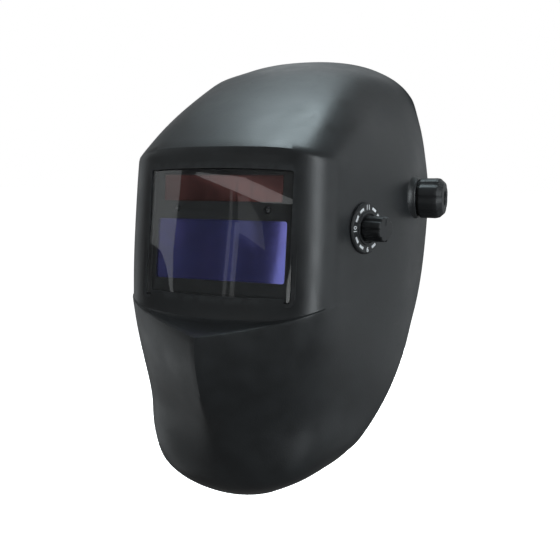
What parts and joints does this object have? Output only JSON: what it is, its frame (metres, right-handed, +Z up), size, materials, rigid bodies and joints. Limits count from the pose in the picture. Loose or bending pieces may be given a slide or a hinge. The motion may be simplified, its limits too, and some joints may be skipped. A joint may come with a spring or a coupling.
{
  "type": "welding helmet",
  "caption": "Auto-darkening welding helmet: a black moulded face shell with a flat window, a shade dial on its side and a ratchet head harness that it tips up on.",
  "frame": {"origin": "midway between the shell's two tilt pivots, on their axis", "axes": "+X towards the wearer's left, -Y the way the wearer looks, +Z up with the shell down over the face"},
  "size_m": [0.2652, 0.3132, 0.3334],
  "materials": {
    "shell_nylon": "satin black moulded nylon with a fine grain",
    "dark_nylon": "matt black moulded nylon",
    "harness_plastic": "flexible black polypropylene, matt",
    "clear_lens": "clear polycarbonate, glossy",
    "filter_glass": "coated filter glass, dark blue with a purple reflection",
    "cell_glass": "dark green liquid crystal glass",
    "silicon": "dark red-brown solar cell under clear resin",
    "board": "green circuit board",
    "rubber": "black rubber",
    "brass": "turned brass",
    "steel": "zinc-plated steel",
    "foam": "black perforated foam-backed cloth"
  },
  "bodies": {
    "harness": {"headband": "harness_plastic", "sweatband": "foam", "crown_strap_left": "harness_plastic", "crown_strap_right": "harness_plastic", "crown_peg": "dark_nylon", "side_arm_left": "harness_plastic", "side_arm_right": "harness_plastic", "pivot_bolt_left": "steel", "pivot_bolt_right": "steel", "tilt_stop_left": "harness_plastic", "tilt_stop_right": "harness_plastic", "rivet_left_1": "dark_nylon", "rivet_left_2": "dark_nylon", "rivet_right_1": "dark_nylon", "rivet_right_2": "dark_nylon", "ratchet_housing": "shell_nylon", "ratchet_cover": "harness_plastic", "rear_pad": "foam"},
    "shell_assembly": {"shell": "shell_nylon", "cover_lens": "clear_lens", "lens_gasket": "rubber", "adf_front": "dark_nylon", "adf_back": "dark_nylon", "uv_ir_filter": "filter_glass", "liquid_crystal_cell": "cell_glass", "solar_cell": "silicon", "arc_sensor_left": "cell_glass", "arc_sensor_right": "cell_glass", "circuit_board": "board", "battery": "steel", "battery_door": "shell_nylon", "inner_lens": "clear_lens", "lens_frame": "shell_nylon", "dial_plate": "shell_nylon", "pot_housing": "dark_nylon", "pot_nut": "brass", "pot_lead": "rubber", "friction_washer_left": "rubber", "friction_washer_right": "rubber"},
    "tension_knob_left": {"tension_knob_left": "shell_nylon", "knob_nut_left": "brass"},
    "tension_knob_right": {"tension_knob_right": "shell_nylon", "knob_nut_right": "brass"},
    "shade_knob": {"shade_knob": "shell_nylon"},
    "sensitivity_knob": {"sensitivity_knob": "shell_nylon"},
    "delay_knob": {"delay_knob": "shell_nylon"},
    "latch_left": {"latch_left": "dark_nylon"},
    "latch_right": {"latch_right": "dark_nylon"},
    "ratchet_knob": {"ratchet_knob": "shell_nylon", "ratchet_pinion": "dark_nylon"},
    "rack_left": {"rack_left": "dark_nylon"},
    "rack_right": {"rack_right": "dark_nylon"}
  },
  "joints": [
    {"name": "shell_tilt", "type": "hinge", "parent": "harness", "child": "shell_assembly", "pos_m": [0, 0, 0], "axis": [-1, 0, 0], "range_deg": [0, 65]},
    {"name": "tension_turn_left", "type": "hinge", "parent": "harness", "child": "tension_knob_left", "pos_m": [0.1139, 0, 0], "axis": [1, 0, 0], "range_deg": [-180, 180]},
    {"name": "tension_turn_right", "type": "hinge", "parent": "harness", "child": "tension_knob_right", "pos_m": [-0.1139, 0, 0], "axis": [-1, 0, 0], "range_deg": [-180, 180]},
    {"name": "shade_turn", "type": "hinge", "parent": "shell_assembly", "child": "shade_knob", "pos_m": [0.0898, -0.0732, -0.019], "axis": [0.9422, -0.3351, 0], "range_deg": [-135, 135]},
    {"name": "sensitivity_turn", "type": "hinge", "parent": "shell_assembly", "child": "sensitivity_knob", "pos_m": [0.038, -0.10733, 0.00598], "axis": [0, 0.9912, -0.1323], "range_deg": [-135, 135]},
    {"name": "delay_turn", "type": "hinge", "parent": "shell_assembly", "child": "delay_knob", "pos_m": [-0.038, -0.10733, 0.00598], "axis": [0, 0.9912, -0.1323], "range_deg": [-135, 135]},
    {"name": "latch_left_slide", "type": "slide", "parent": "shell_assembly", "child": "latch_left", "axis": [-1, 0, 0], "range_m": [0, 0.0035]},
    {"name": "latch_right_slide", "type": "slide", "parent": "shell_assembly", "child": "latch_right", "axis": [1, 0, 0], "range_m": [0, 0.0035]},
    {"name": "ratchet_turn", "type": "hinge", "parent": "harness", "child": "ratchet_knob", "pos_m": [0, 0.1345, -0.0196], "axis": [0, -1, 0], "range_deg": [0, 76.39]},
    {"name": "rack_left_slide", "type": "slide", "parent": "harness", "child": "rack_left", "axis": [-1, 0, 0], "range_m": [0, 0.008]},
    {"name": "rack_right_slide", "type": "slide", "parent": "harness", "child": "rack_right", "axis": [1, 0, 0], "range_m": [0, 0.008]}
  ],
  "couplings": [
    {"joint": "rack_left_slide", "follows": "ratchet_turn", "m_per_rad": 0.006},
    {"joint": "rack_right_slide", "follows": "ratchet_turn", "m_per_rad": 0.006}
  ]
}
